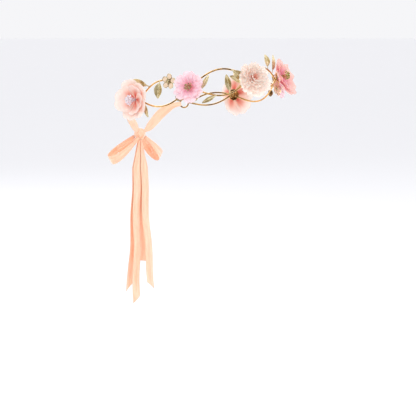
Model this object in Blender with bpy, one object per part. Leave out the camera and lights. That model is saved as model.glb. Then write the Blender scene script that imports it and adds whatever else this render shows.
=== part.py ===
"""Flower crown: two wavy gold wires, six fabric flowers, metal leaves and a tied ribbon bow.

Metres, +Z up.  The origin is the middle of the oval ring, where the crown sits on a head.
The wearer faces -Y and the wearer's right side is -X.  The ring is worn tilted, front up,
and the ribbon hangs straight down from the knot behind the head.
"""

import math

import bmesh
import bpy
from mathutils import Matrix, Vector

# Ring
RING_LENGTH = 0.194
RING_BREADTH = 0.164
WEAR_TILT = math.radians(12.0)
FLOWER_ANGLES = (104.0, 60.0, 16.0, -16.0, -60.0, -104.0)
BAND_END_ANGLE = 138.0

# Vine wires
WIRE_DIAMETER = 0.0020
WIRE_WAVE = 0.0145
WIRE_FRONT_WAVE = 0.0115
WIRE_END_WAVE = 0.0070
WIRE_GAP = 0.0004
WIRE_STEPS_PER_WAVE = 10

# Clearance between pieces that touch
GAP = 0.0003

# End rings that the ribbons are threaded through
END_RING_RADIUS = 0.0050
END_RING_WIRE = 0.0018

# Flower holder: a disc with a square bail around both wires
BASE_RADIUS = 0.0070
BASE_THICKNESS = 0.0012
BAIL_WALL = 0.0011
BAIL_WIDTH = 0.0024

# Fabric flowers
LARGE_FLOWER = 0.046
MIDDLE_FLOWER = 0.037
RUFFLED_FLOWER = 0.044
PETAL_THICKNESS = 0.0008
LARGE_CUP = 0.0085
MIDDLE_CUP = 0.0060
INNER_SHARE = 0.66
INNER_CUP_SHARE = 0.9
REAR_FLOWER_LEAN = 0.0045
LOBE_CURVE = 0.7
OUTER_NOTCH = 0.30
INNER_NOTCH = 0.34
PIN_DIAMETER = 0.0016
PIN_CLEARANCE = 0.0005
STAMEN_RADIUS = 0.0044

# Metal leaves
LEAF_THICKNESS = 0.0006
LEAF_STALK = 0.0010
LEAF_FOLD = 0.22
LEAF_SHOULDER = 0.85
LEAF_FULLNESS = 0.9
LEAF_TIP_SHARE = 0.4
STALK_SHARE = 0.16

# Small enamel blossoms and bead caps
BLOSSOM_DIAMETER = 0.0175
BLOSSOM_THICKNESS = 0.0009
BLOSSOM_NOTCH = 0.42
BLOSSOM_CUP = 0.0006
BLOSSOM_BEAD = 0.0022
MIDDLE_SHARE = 0.12
DOME_SHARE = 0.34
BEAD_CAP_RADIUS = 0.0042
BEAD_CAP_FOOT = 0.9
BEAD_CAP_HEIGHT = 0.95

# Ribbon
RIBBON_WIDTH = 0.012
RIBBON_THICKNESS = 0.0008
KNOT_RADIUS = 0.0070
KNOT_DROP = 0.0300
KNOT_STANDOFF = 0.0060
LOOP_LENGTH = 0.052
LOOP_OPENING = 0.026
INNER_LOOP_LENGTH = 0.037
INNER_LOOP_OPENING = 0.012
LOOP_DROOP = math.radians(36.0)
LOOP_ROOT = 0.0047
INNER_LOOP_ROOT = 0.0035
LOOP_ROOT_WIDTH = 0.0034
LOOP_BACK = 0.16
LOOP_REACH_CURVE = 0.75
LOOP_SWING_CURVE = 0.6
LOOP_WIDTH_CURVE = 0.8
TIE_LANDING = (0.80, -0.38, 0.46)
TIE_PULL = 0.42
TIE_KNOT_PULL = 0.6
TIE_END_SHARE = 0.6
TAIL_LENGTHS = {"right_rear": 0.187, "right_front": 0.201, "left_rear": 0.155, "left_front": 0.184}
TAIL_DRIFTS = {"right_rear": 0.011, "right_front": 0.001, "left_rear": 0.002, "left_front": -0.012}
TAIL_CUTS = {"right_rear": -0.009, "right_front": -0.008, "left_rear": 0.002, "left_front": 0.009}
TAIL_LAYER = 0.0016
TAIL_NECK_WIDTH = 0.0027
TAIL_NECK_LENGTH = 0.034

GOLD = ((0.83, 0.63, 0.31), 0.22, 1.0)
DARK_GOLD = ((0.60, 0.42, 0.18), 0.28, 1.0)
PEACH = ((0.98, 0.74, 0.66), 0.65, 0.0)
PINK = ((0.98, 0.66, 0.70), 0.65, 0.0)
CREAM_PINK = ((0.98, 0.80, 0.74), 0.70, 0.0)
PEARL = ((0.95, 0.92, 0.90), 0.18, 0.0)
ENAMEL = ((0.91, 0.80, 0.68), 0.30, 0.0)
SATIN = ((0.98, 0.72, 0.55), 0.40, 0.0)

HALF_LENGTH = RING_LENGTH / 2
HALF_BREADTH = RING_BREADTH / 2
WIRE_OFFSET = (WIRE_DIAMETER + WIRE_GAP) / 2
WIRE_REACH = WIRE_OFFSET + WIRE_DIAMETER / 2
UP = Vector((0.0, 0.0, 1.0))


# Helpers ------------------------------------------------------------------------------------

def clear_scene():
    """Remove what the scene starts with."""
    for item in list(bpy.data.objects):
        bpy.data.objects.remove(item, do_unlink=True)


def material(name, look):
    """Return the named Principled material, made once."""
    found = bpy.data.materials.get(name)
    if found:
        return found
    colour, roughness, metallic = look
    made = bpy.data.materials.new(name)
    made.use_nodes = True
    shader = made.node_tree.nodes["Principled BSDF"]
    shader.inputs["Base Color"].default_value = (*colour, 1.0)
    shader.inputs["Roughness"].default_value = roughness
    shader.inputs["Metallic"].default_value = metallic
    made.diffuse_color = (*colour, 1.0)
    return made


def add_object(name, data, look_name, look, parent=None, matrix=None):
    """Link one named piece under its parent."""
    data.materials.append(material(look_name, look))
    piece = bpy.data.objects.new(name, data)
    bpy.context.collection.objects.link(piece)
    piece.parent = parent
    if matrix is not None:
        piece.matrix_local = matrix
    return piece


def add_empty(name, parent=None, matrix=None):
    """Add a frame that pieces hang from."""
    frame = bpy.data.objects.new(name, None)
    bpy.context.collection.objects.link(frame)
    frame.parent = parent
    if matrix is not None:
        frame.matrix_local = matrix
    return frame


def tube_mesh(name, sections, closed=False):
    """Close a tube through equal rings of points; open tubes get flat ends."""
    body = bmesh.new()
    rings = [[body.verts.new(point) for point in section] for section in sections]
    pairs = list(zip(rings, rings[1:]))
    if closed:
        pairs.append((rings[-1], rings[0]))
    count = len(rings[0])
    for first, second in pairs:
        for i in range(count):
            j = (i + 1) % count
            body.faces.new((first[i], first[j], second[j], second[i]))
    if not closed:
        body.faces.new(rings[0])
        body.faces.new(rings[-1])
    bmesh.ops.recalc_face_normals(body, faces=body.faces)
    data = bpy.data.meshes.new(name)
    body.to_mesh(data)
    body.free()
    return data


def turned_mesh(name, profile, segments=14):
    """Spin a profile of (radius, height) points, whose two ends lie on the axis, about Z."""
    body = bmesh.new()
    line = [body.verts.new((radius, 0.0, height)) for radius, height in profile]
    edges = [body.edges.new(pair) for pair in zip(line, line[1:])]
    bmesh.ops.spin(body, geom=line + edges, cent=(0, 0, 0), axis=(0, 0, 1), angle=math.tau, steps=segments)
    bmesh.ops.remove_doubles(body, verts=body.verts, dist=0.00001)
    bmesh.ops.recalc_face_normals(body, faces=body.faces)
    data = bpy.data.meshes.new(name)
    body.to_mesh(data)
    body.free()
    data.shade_smooth()
    data.set_sharp_from_angle(angle=math.radians(50))
    return data


def ring_point(angle, outward=0.0, height=0.0):
    """A point of the ring; 0 degrees is the front, and the wearer's right is positive."""
    turn = math.radians(angle)
    middle = Vector((-HALF_BREADTH * math.sin(turn), -HALF_LENGTH * math.cos(turn), height))
    return middle + ring_normal(angle) * outward


def ring_normal(angle):
    """The outward direction of the ring's oval."""
    turn = math.radians(angle)
    return Vector((-math.sin(turn) / HALF_BREADTH, -math.cos(turn) / HALF_LENGTH, 0.0)).normalized()


def ring_matrix(angle, outward=0.0, height=0.0):
    """A frame on the ring: X to the front, Y up, Z outward."""
    normal = ring_normal(angle)
    forward = UP.cross(normal)
    place = Matrix((forward, UP, normal)).transposed().to_4x4()
    place.translation = ring_point(angle, outward, height)
    return place


# Vine wires ---------------------------------------------------------------------------------

def wave_spans():
    """The stretches between crossings, from one band end to the other."""
    stops = (BAND_END_ANGLE, *FLOWER_ANGLES, -BAND_END_ANGLE)
    half = (WIRE_END_WAVE, -WIRE_WAVE, WIRE_WAVE)
    waves = (*half, -WIRE_FRONT_WAVE, *reversed(half))
    return zip(stops, stops[1:], waves)


def wire_height(angle, side):
    """The height of one wire: side +1 is the outer wire, and the inner wire, -1, mirrors it."""
    for start, end, wave in wave_spans():
        if end <= angle <= start:
            return side * wave * math.sin(math.pi * (start - angle) / (start - end))
    return 0.0


def wire_matrix(angle, side, drop=0.0):
    """A ring frame on the front of one wire, just clear of it."""
    outward = side * WIRE_OFFSET + WIRE_DIAMETER / 2 + GAP
    return ring_matrix(angle, outward, wire_height(angle, side) - drop)


def wire_points(side):
    """Points along one wire, from the right end round the front to the left end."""
    points = []
    for start, end, _ in wave_spans():
        for step in range(WIRE_STEPS_PER_WAVE):
            angle = start + (end - start) * step / WIRE_STEPS_PER_WAVE
            points.append(ring_point(angle, side * WIRE_OFFSET, wire_height(angle, side)))
    points.append(ring_point(-BAND_END_ANGLE, side * WIRE_OFFSET, 0.0))
    return points


def build_wire(name, side, crown):
    """One wavy wire as a bevelled curve with closed ends."""
    data = bpy.data.curves.new(name, "CURVE")
    data.dimensions = "3D"
    data.bevel_depth = WIRE_DIAMETER / 2
    data.bevel_resolution = 1
    data.use_fill_caps = True
    points = wire_points(side)
    spline = data.splines.new("POLY")
    spline.points.add(len(points) - 1)
    for slot, point in zip(spline.points, points):
        slot.co = (*point, 1.0)
    add_object(name, data, "gold_wire", GOLD, crown)


def build_end_ring(name, side, crown):
    """The closed ring beyond the wire ends, lying in the surface of the band."""
    start = ring_matrix(side * BAND_END_ANGLE)
    reach = END_RING_RADIUS + END_RING_WIRE / 2 + GAP
    place = start @ Matrix.Translation((-side * reach, 0.0, 0.0))
    sections = []
    for step in range(14):
        turn = math.tau * step / 14
        section = []
        for corner in range(6):
            roll = math.tau * corner / 6
            radius = END_RING_RADIUS + END_RING_WIRE / 2 * math.cos(roll)
            rise = END_RING_WIRE / 2 * math.sin(roll)
            section.append((radius * math.cos(turn), radius * math.sin(turn), rise))
        sections.append(section)
    data = tube_mesh(name, sections, closed=True)
    data.shade_smooth()
    add_object(name, data, "gold_wire", GOLD, crown, place)


# Fabric flowers -----------------------------------------------------------------------------

def petal_mesh(name, petals, radius, notch, cup, thickness, hole, bump=0.0, rings=3, steps=6,
               lean=0.0, ahead=0.0):
    """A cupped, notched disc: closed, with a round hole, or with a domed middle if hole is 0.

    Lean lowers the rim on the side at the angle ahead and raises the far side.
    """
    body = bmesh.new()
    count = petals * steps
    inner = hole if hole else radius * MIDDLE_SHARE
    layers = []
    for level in (0.0, 1.0):
        grid = []
        for ring in range(rings + 1):
            share = ring / rings
            row = []
            for step in range(count):
                turn = math.tau * step / count
                lobe = abs(math.cos(petals * turn / 2)) ** LOBE_CURVE
                edge = radius * (1.0 - notch * (1.0 - lobe))
                distance = inner + (edge - inner) * share
                rise = (cup - lean * math.cos(turn - ahead)) * (distance / radius) ** 2 + level * thickness
                if level:
                    rise += bump * max(0.0, 1.0 - (distance / (radius * DOME_SHARE)) ** 2)
                row.append(body.verts.new((distance * math.cos(turn), distance * math.sin(turn), rise)))
            grid.append(row)
        layers.append(grid)
    for grid in layers:
        for near, far in zip(grid, grid[1:]):
            bridge(body, near, far)
    bridge(body, layers[0][-1], layers[1][-1])
    if hole:
        bridge(body, layers[0][0], layers[1][0])
    else:
        for grid, height in zip(layers, (0.0, thickness + bump)):
            fan(body, grid[0], body.verts.new((0.0, 0.0, height)))
    bmesh.ops.recalc_face_normals(body, faces=body.faces)
    data = bpy.data.meshes.new(name)
    body.to_mesh(data)
    body.free()
    data.shade_smooth()
    data.set_sharp_from_angle(angle=math.radians(40))
    return data


def bridge(body, near, far):
    """Join two equal closed rows with quads."""
    count = len(near)
    for i in range(count):
        j = (i + 1) % count
        body.faces.new((near[i], near[j], far[j], far[i]))


def fan(body, row, middle):
    """Close a row with triangles to one point."""
    count = len(row)
    for i in range(count):
        body.faces.new((row[i], row[(i + 1) % count], middle))


def build_flower_base(name, frame):
    """The holder behind a flower: a square bail around both wires, with a disc on its front."""
    inner = WIRE_REACH + GAP
    outer = inner + BAIL_WALL
    sections = []
    for side, wall in ((-1, outer), (1, outer), (1, inner), (-1, inner)):
        x = side * BAIL_WIDTH / 2
        sections.append([(x, -wall, -wall), (x, wall, -wall), (x, wall, wall), (x, -wall, wall)])
    bail = add_object(name, tube_mesh(name, sections, closed=True), "gold_wire", GOLD, frame)
    disc_data = turned_mesh(name + "_disc", base_profile(outer), 16)
    disc = add_object(name + "_disc", disc_data, "gold_wire", GOLD, frame)
    disc.hide_render = True
    disc.display_type = "WIRE"
    union = bail.modifiers.new("join disc", "BOOLEAN")
    union.operation = "UNION"
    union.object = disc


def base_profile(front):
    """The disc sinks half a wall into the bail that carries it."""
    back = front - BAIL_WALL / 2
    face = front + BASE_THICKNESS
    return ((0.0, back), (BASE_RADIUS, back), (BASE_RADIUS, face), (0.0, face))


def build_flower(name, angle, size, cup, lean, petals, look_name, look, crown):
    """A holder, two petal layers and a stamen head on one pin; it opens towards the front by its lean."""
    frame = add_empty(name + "_frame", crown, ring_matrix(angle))
    build_flower_base(name + "_base", frame)
    face = WIRE_REACH + GAP + BAIL_WALL + BASE_THICKNESS
    hole = PIN_DIAMETER / 2 + PIN_CLEARANCE
    outer_level = face + GAP
    inner_level = outer_level + PETAL_THICKNESS + GAP
    head_level = inner_level + PETAL_THICKNESS + GAP
    lean = math.copysign(lean, angle)
    outer = petal_mesh(name + "_outer_petals", petals, size / 2, OUTER_NOTCH, cup, PETAL_THICKNESS, hole,
                       lean=lean)
    add_object(outer.name, outer, look_name, look, frame, Matrix.Translation((0, 0, outer_level)))
    half = size / 2 * INNER_SHARE
    inner_cup = cup * INNER_CUP_SHARE
    inner_lean = lean * INNER_SHARE ** 2
    half_petal = math.pi / petals
    inner = petal_mesh(name + "_inner_petals", petals, half, INNER_NOTCH, inner_cup, PETAL_THICKNESS, hole,
                       rings=2, lean=inner_lean, ahead=-half_petal)
    turn = Matrix.Rotation(half_petal, 4, "Z")
    add_object(inner.name, inner, look_name, look, frame, Matrix.Translation((0, 0, inner_level)) @ turn)
    head_level += (inner_cup + abs(inner_lean)) * (STAMEN_RADIUS / half) ** 2 + GAP
    build_stamens(name + "_stamens", face + GAP, head_level, frame)


def build_stamens(name, foot, level, frame):
    """A bundle of stamens: a pin through both petal layers and a domed head on them."""
    pin = PIN_DIAMETER / 2
    head = STAMEN_RADIUS
    profile = [(0.0, foot), (pin, foot), (pin, level), (head * 0.55, level)]
    for step in range(4):
        turn = math.radians(-30 + 40 * step)
        profile.append((head * math.cos(turn), level + head * (0.5 + math.sin(turn))))
    profile[-1] = (0.0, level + head * 1.5)
    add_object(name, turned_mesh(name, profile, 10), "pearl_stamens", PEARL, frame)


# Metal leaves and small blossoms ------------------------------------------------------------

def leaf_mesh(name, length, width, fold):
    """A stalk that widens into a pointed blade, folded up a little along its midrib."""
    sections = []
    steps = 8
    for step in range(steps + 1):
        share = step / steps
        half = LEAF_STALK / 2
        if share > STALK_SHARE:
            blade = (share - STALK_SHARE) / (1.0 - STALK_SHARE)
            fullness = math.sin(math.pi * blade ** LEAF_SHOULDER) ** LEAF_FULLNESS if blade < 1.0 else 0.0
            half += (width / 2 - half) * fullness
            half *= LEAF_TIP_SHARE if step == steps else 1.0
        x = length * share
        rise = fold * half
        low = LEAF_THICKNESS
        sections.append([(x, -half, rise), (x, 0, 0), (x, half, rise),
                         (x, half, rise + low), (x, 0, low), (x, -half, rise + low)])
    data = tube_mesh(name, sections)
    data.shade_smooth()
    data.set_sharp_from_angle(angle=math.radians(30))
    return data


def build_leaf(name, angle, side, heading, length, width, lean, crown):
    """One leaf on the front of a wire; heading 0 points forward and 90 points up."""
    place = wire_matrix(angle, side)
    turn = Matrix.Rotation(math.radians(heading), 4, "Z") @ Matrix.Rotation(-math.radians(lean), 4, "Y")
    add_object(name, leaf_mesh(name, length, width, LEAF_FOLD), "leaf_gold", GOLD, crown, place @ turn)


def build_blossom(name, angle, side, drop, crown):
    """A small five-petal enamel blossom with a domed middle, on the front of a wire."""
    radius = BLOSSOM_DIAMETER / 2
    data = petal_mesh(name, 5, radius, BLOSSOM_NOTCH, BLOSSOM_CUP, BLOSSOM_THICKNESS, 0.0,
                      bump=BLOSSOM_BEAD, steps=4)
    add_object(name, data, "enamel", ENAMEL, crown, wire_matrix(angle, side, drop))


def build_bead_cap(name, angle, side, crown):
    """A domed filigree cap on the front of a wire."""
    rise = BEAD_CAP_RADIUS
    profile = [(0.0, 0.0), (rise * BEAD_CAP_FOOT, 0.0)]
    for step in range(4):
        turn = math.radians(10 + 25 * step)
        profile.append((rise * math.cos(turn), rise * BEAD_CAP_HEIGHT * math.sin(turn)))
    profile.append((0.0, rise * BEAD_CAP_HEIGHT))
    add_object(name, turned_mesh(name, profile, 12), "dark_gold", DARK_GOLD, crown, wire_matrix(angle, side))


# Ribbon -------------------------------------------------------------------------------------

def strap_mesh(name, path, across, widths, slant=0.0):
    """A flat ribbon: a thin rectangle swept along a path, its width along the given directions."""
    sections = []
    last = len(path) - 1
    for number, (point, side, width) in enumerate(zip(path, across, widths)):
        ahead = path[min(number + 1, last)] - path[max(number - 1, 0)]
        face = ahead.cross(side).normalized() * RIBBON_THICKNESS / 2
        half = side.normalized() * width / 2
        skew = ahead.normalized() * (slant / 2 if number == last else 0.0)
        sections.append([point - half + face - skew, point + half + face + skew,
                         point + half - face + skew, point - half - face - skew])
    data = tube_mesh(name, sections)
    data.shade_smooth()
    data.set_sharp_from_angle(angle=math.radians(40))
    return data


def knot_centre():
    """The knot lies behind and below the back of the ring."""
    tilt = Matrix.Rotation(-WEAR_TILT, 4, "X")
    return tilt @ ring_point(180.0, KNOT_STANDOFF) - UP * KNOT_DROP


def build_knot(centre):
    """The round knot of the bow."""
    profile = []
    for step in range(9):
        turn = math.radians(-90 + 22.5 * step)
        profile.append((KNOT_RADIUS * math.cos(turn), KNOT_RADIUS * math.sin(turn)))
    profile[0] = (0.0, -KNOT_RADIUS)
    profile[-1] = (0.0, KNOT_RADIUS)
    data = turned_mesh("bow_knot", profile, 12)
    add_object("bow_knot", data, "satin_ribbon", SATIN, None, Matrix.Translation(centre))


def build_tie(name, side, centre):
    """The doubled ribbon that runs from a band end around the head to the knot."""
    tilt = Matrix.Rotation(-WEAR_TILT, 4, "X")
    reach = 2 * END_RING_RADIUS + END_RING_WIRE + 2 * GAP
    ring_end = tilt @ ring_matrix(side * BAND_END_ANGLE)
    backward = -side * ring_end.col[0].to_3d()
    start = ring_end.translation + backward * (reach + GAP)
    landing = Vector((-side * TIE_LANDING[0], *TIE_LANDING[1:])).normalized()
    stop = centre + landing * (KNOT_RADIUS + RIBBON_THICKNESS + GAP)
    pull = (stop - start).length * TIE_PULL
    bends = (start, start + backward * pull, stop + landing * pull * TIE_KNOT_PULL, stop)
    steps = 10
    path = []
    widths = []
    for step in range(steps + 1):
        share = step / steps
        back = 1.0 - share
        weights = (back ** 3, 3 * back * back * share, 3 * back * share * share, share ** 3)
        path.append(sum((bend * weight for bend, weight in zip(bends, weights)), Vector()))
        widths.append(RIBBON_WIDTH * (TIE_END_SHARE + (1 - TIE_END_SHARE) * math.sin(math.pi * share)))
    across = []
    for number, point in enumerate(path):
        ahead = path[min(number + 1, steps)] - path[max(number - 1, 0)]
        outward = Vector((point.x, point.y, 0.0)).normalized()
        across.append(ahead.cross(outward).normalized())
    data = strap_mesh(name, path, across, widths)
    add_object(name, data, "satin_ribbon", SATIN)


def build_loop(name, side, length, opening, root, centre):
    """One bow loop, drooping beside the knot; its two ends stop at the knot's surface."""
    along = Vector((-side * math.cos(LOOP_DROOP), LOOP_BACK, -math.sin(LOOP_DROOP))).normalized()
    spread = (Vector((0.0, 1.0, 0.0)) - along * along.y).normalized()
    across = along.cross(spread)
    clear = KNOT_RADIUS + RIBBON_THICKNESS / 2 + GAP
    start = math.sqrt(clear ** 2 - (root - RIBBON_THICKNESS / 2) ** 2)
    steps = 16
    path = []
    widths = []
    for step in range(steps + 1):
        turn = math.pi * step / steps
        reach = start + (length - start) * math.sin(turn) ** LOOP_REACH_CURVE
        swing = math.cos(turn) * (root + (opening / 2 - root) * math.sin(turn) ** LOOP_SWING_CURVE)
        path.append(centre + along * reach + spread * swing)
        widths.append(LOOP_ROOT_WIDTH + (RIBBON_WIDTH - LOOP_ROOT_WIDTH) * math.sin(turn) ** LOOP_WIDTH_CURVE)
    data = strap_mesh(name, path, [across] * len(path), widths)
    hub = Matrix.Translation(centre)
    data.transform(hub.inverted())
    add_object(name, data, "satin_ribbon", SATIN, None, hub)


def build_tail(key, centre):
    """One ribbon tail hanging from the knot, cut slantwise at its end; it hinges on the knot's middle."""
    side = -1.0 if key.startswith("right") else 1.0
    layer = TAIL_LAYER / 2 if key.endswith("rear") else -TAIL_LAYER / 2
    length = TAIL_LENGTHS[key]
    start = KNOT_RADIUS + GAP
    steps = 12
    path = []
    widths = []
    for step in range(steps + 1):
        share = step / steps
        fall = start + (length - start) * share
        spread = min(1.0, (fall - start) / TAIL_NECK_LENGTH)
        spread = spread * spread * (3 - 2 * spread)
        width = TAIL_NECK_WIDTH + (RIBBON_WIDTH - TAIL_NECK_WIDTH) * spread
        drift = layer + TAIL_DRIFTS[key] * share * share
        path.append(Vector((side * (GAP + width / 2), drift, -fall)))
        widths.append(width)
    across = [Vector((1.0, 0.0, 0.0))] * len(path)
    name = key + "_tail"
    data = strap_mesh(name, path, across, widths, TAIL_CUTS[key])
    add_object(name, data, "satin_ribbon", SATIN, None, Matrix.Translation(centre))


# The crown ----------------------------------------------------------------------------------

def build_flowers(crown):
    """Six flowers; the wearer's left mirrors the right."""
    rear = (LARGE_FLOWER, LARGE_CUP, REAR_FLOWER_LEAN, 5, "peach_chiffon", PEACH)
    side = (MIDDLE_FLOWER, MIDDLE_CUP, 0.0, 6, "pink_chiffon", PINK)
    kinds = (("right_rear_flower", *rear),
             ("right_side_flower", *side),
             ("right_front_flower", RUFFLED_FLOWER, LARGE_CUP, 0.0, 7, "cream_pink_chiffon", CREAM_PINK),
             ("left_front_flower", LARGE_FLOWER, LARGE_CUP, 0.0, 5, "pink_chiffon", PINK),
             ("left_side_flower", *side),
             ("left_rear_flower", *rear))
    for (name, *kind), angle in zip(kinds, FLOWER_ANGLES):
        build_flower(name, angle, *kind, crown)


def build_leaves(crown):
    """Leaves by place: angle, wire, heading, length, width and outward lean."""
    leaves = (
        ("right_end_leaf", 130.0, 1, 188.0, 0.0140, 0.0055, 25.0),
        ("right_rear_upper_leaf", 92.0, -1, 152.0, 0.0260, 0.0075, 6.0),
        ("right_rear_lower_leaf", 97.0, 1, 279.0, 0.0165, 0.0060, 6.0),
        ("right_hanging_leaf", 82.0, -1, 252.0, 0.0205, 0.0105, 4.0),
        ("right_side_upper_leaf", 54.0, -1, 52.0, 0.0200, 0.0052, 2.0),
        ("right_side_lower_leaf", 43.0, -1, 199.0, 0.0185, 0.0050, 3.0),
        ("right_upright_leaf", 33.5, -1, 92.0, 0.0215, 0.0070, 3.0),
        ("right_front_inner_leaf", 30.0, 1, 313.0, 0.0200, 0.0095, 2.0),
        ("front_broad_leaf", -5.0, -1, 96.0, 0.0160, 0.0098, 3.0),
        ("front_narrow_leaf", -11.0, -1, 70.0, 0.0220, 0.0070, 3.0),
        ("left_upright_leaf", -33.5, -1, 88.0, 0.0215, 0.0070, 3.0),
        ("left_hanging_leaf", -82.0, -1, 288.0, 0.0205, 0.0105, 4.0),
        ("left_rear_upper_leaf", -92.0, -1, 28.0, 0.0260, 0.0075, 6.0),
        ("left_end_leaf", -130.0, 1, 352.0, 0.0140, 0.0055, 25.0),
    )
    for name, angle, side, heading, length, width, lean in leaves:
        build_leaf(name, angle, side, heading, length, width, lean, crown)


def build_trim(crown):
    """Small blossoms and filigree caps between the flowers."""
    build_blossom("right_side_blossom", 75.0, -1, 0.0015, crown)
    build_blossom("front_blossom", -10.0, 1, 0.0065, crown)
    build_blossom("left_side_blossom", -75.0, -1, 0.0015, crown)
    build_bead_cap("right_bead_cap", 69.0, 1, crown)
    build_bead_cap("left_bead_cap", -69.0, 1, crown)


def build_ribbon():
    """The knot, the two ties to the band ends, the four loops and the four tails."""
    centre = knot_centre()
    build_knot(centre)
    for name, side in (("right", 1), ("left", -1)):
        build_tie(name + "_tie", side, centre)
        build_loop(name + "_outer_loop", side, LOOP_LENGTH, LOOP_OPENING, LOOP_ROOT, centre)
        inner = (INNER_LOOP_LENGTH, INNER_LOOP_OPENING, INNER_LOOP_ROOT)
        build_loop(name + "_inner_loop", side, *inner, centre)
    for key in TAIL_LENGTHS:
        build_tail(key, centre)


def main():
    clear_scene()
    crown = add_empty("crown_frame", None, Matrix.Rotation(-WEAR_TILT, 4, "X"))
    build_wire("outer_vine_wire", 1, crown)
    build_wire("inner_vine_wire", -1, crown)
    build_end_ring("right_end_ring", 1, crown)
    build_end_ring("left_end_ring", -1, crown)
    build_flowers(crown)
    build_leaves(crown)
    build_trim(crown)
    build_ribbon()


main()
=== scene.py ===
"""Looks of the flower crown: vine wires, chiffon flowers, veined leaves and a satin bow.

Metres, +Z up.  The origin is the middle of the oval ring; the wearer faces -Y and the wearer's
right side is -X.  Ring angles run from 0 at the front, positive towards the wearer's right.
"""

import math

import bmesh
import bpy
import numpy as np
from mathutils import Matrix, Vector


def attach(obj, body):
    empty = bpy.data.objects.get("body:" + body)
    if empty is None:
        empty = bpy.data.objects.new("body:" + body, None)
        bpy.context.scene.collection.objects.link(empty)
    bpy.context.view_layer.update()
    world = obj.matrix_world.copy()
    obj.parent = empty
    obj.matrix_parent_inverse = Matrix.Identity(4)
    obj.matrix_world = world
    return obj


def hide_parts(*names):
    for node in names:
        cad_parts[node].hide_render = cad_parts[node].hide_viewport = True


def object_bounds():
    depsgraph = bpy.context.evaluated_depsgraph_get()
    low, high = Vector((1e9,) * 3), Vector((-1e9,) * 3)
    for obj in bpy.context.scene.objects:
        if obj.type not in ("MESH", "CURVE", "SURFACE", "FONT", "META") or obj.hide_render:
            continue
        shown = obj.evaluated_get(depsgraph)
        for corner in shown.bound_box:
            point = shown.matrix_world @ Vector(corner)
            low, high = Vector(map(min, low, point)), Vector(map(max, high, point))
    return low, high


bl_info = {
    "name": "Flower crown",
    "version": (1, 0, 0),
    "blender": (4, 5, 0),
    "location": "3D View > Sidebar > Crown",
    "description": "Builds the finished surfaces of a flower crown around its CAD frame",
    "category": "Object",
}

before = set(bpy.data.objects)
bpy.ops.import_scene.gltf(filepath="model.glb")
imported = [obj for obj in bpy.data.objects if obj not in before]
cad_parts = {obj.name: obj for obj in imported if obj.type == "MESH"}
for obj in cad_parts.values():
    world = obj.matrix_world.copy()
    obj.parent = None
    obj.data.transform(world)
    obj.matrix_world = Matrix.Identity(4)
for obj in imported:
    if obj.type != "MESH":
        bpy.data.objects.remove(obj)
CAD_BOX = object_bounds()

# Sizes that the CAD model fixes
RING_LENGTH = 0.194
RING_BREADTH = 0.164
WEAR_TILT = math.radians(12.0)
BAND_END_ANGLE = 138.0
WAVE_HEIGHTS = (0.0070, -0.0145, 0.0145, -0.0115, 0.0145, -0.0145, 0.0070)
WIRE_DIAMETER = 0.0020
WIRE_GAP = 0.0004
GAP = 0.0003
END_RING_RADIUS = 0.0050
END_RING_WIRE = 0.0018
BASE_RADIUS = 0.0070
BASE_THICKNESS = 0.0012
BAIL_WALL = 0.0011
BAIL_WIDTH = 0.0024
PETAL_LAYER = 0.0008
LEAF_STALK = 0.0010
BEAD_CAP_RADIUS = 0.0042
RIBBON_WIDTH = 0.012
KNOT_RADIUS = 0.0070
SNUG = 0.0002
KNOT_DROP = 0.0300
KNOT_STANDOFF = 0.0060
LOOP_DROOP = math.radians(36.0)
LOOP_ROOT_WIDTH = 0.0034
TAIL_LAYER = 0.0016
TAIL_NECK_WIDTH = 0.0027
TAIL_NECK_LENGTH = 0.034

HALF_LENGTH = RING_LENGTH / 2
HALF_BREADTH = RING_BREADTH / 2
WIRE_OFFSET = (WIRE_DIAMETER + WIRE_GAP) / 2
BAIL_REACH = WIRE_OFFSET + WIRE_DIAMETER / 2 + GAP
BASE_FACE = BAIL_REACH + BAIL_WALL + BASE_THICKNESS
UP = np.array((0.0, 0.0, 1.0))

# Sizes of the finished surfaces that nothing else in the frame fixes
STALK_SHARE = 0.16
LEAF_TEETH = 11
PIN_HOLE = 0.0013
PETAL_ROUNDING = 0.30
INNER_SHARE = 0.76
BLOSSOM_REACH = 0.0052
BLOSSOM_LOBE = 0.00235
BLOSSOM_LEVEL = 0.0011
HOOK_RADIUS = 0.00137
HOOK_WIDTH = 0.0052

# Stage
FLOOR_RADIUS = 40.0
FLOOR_DROP = 0.085
VIEW_AZIMUTH = math.radians(-48.2)
VIEW_ELEVATION = math.radians(6.2)
VIEW_DISTANCE = 2.0
VIEW_WIDTH = 0.483
VIEW_SHIFT = (0.0069, -0.1333)


def linear(code):
    """Scene-linear colour from six hexadecimal digits of display colour."""
    shares = np.array([int(code[i:i + 2], 16) / 255 for i in (0, 2, 4)])
    low, high = shares / 12.92, ((shares + 0.055) / 1.055) ** 2.4
    return tuple(float(x) for x in np.where(shares > 0.04045, high, low))


def colour_setting(name, description, code):
    """A colour that a user may change."""
    return bpy.props.FloatVectorProperty(
        name=name, description=description, default=linear(code), subtype="COLOR", size=3, min=0, max=1)


def length_setting(name, description, metres):
    """A length that a user may change."""
    return bpy.props.FloatProperty(
        name=name, description=description, default=metres, min=0, unit="LENGTH", precision=5)


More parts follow.
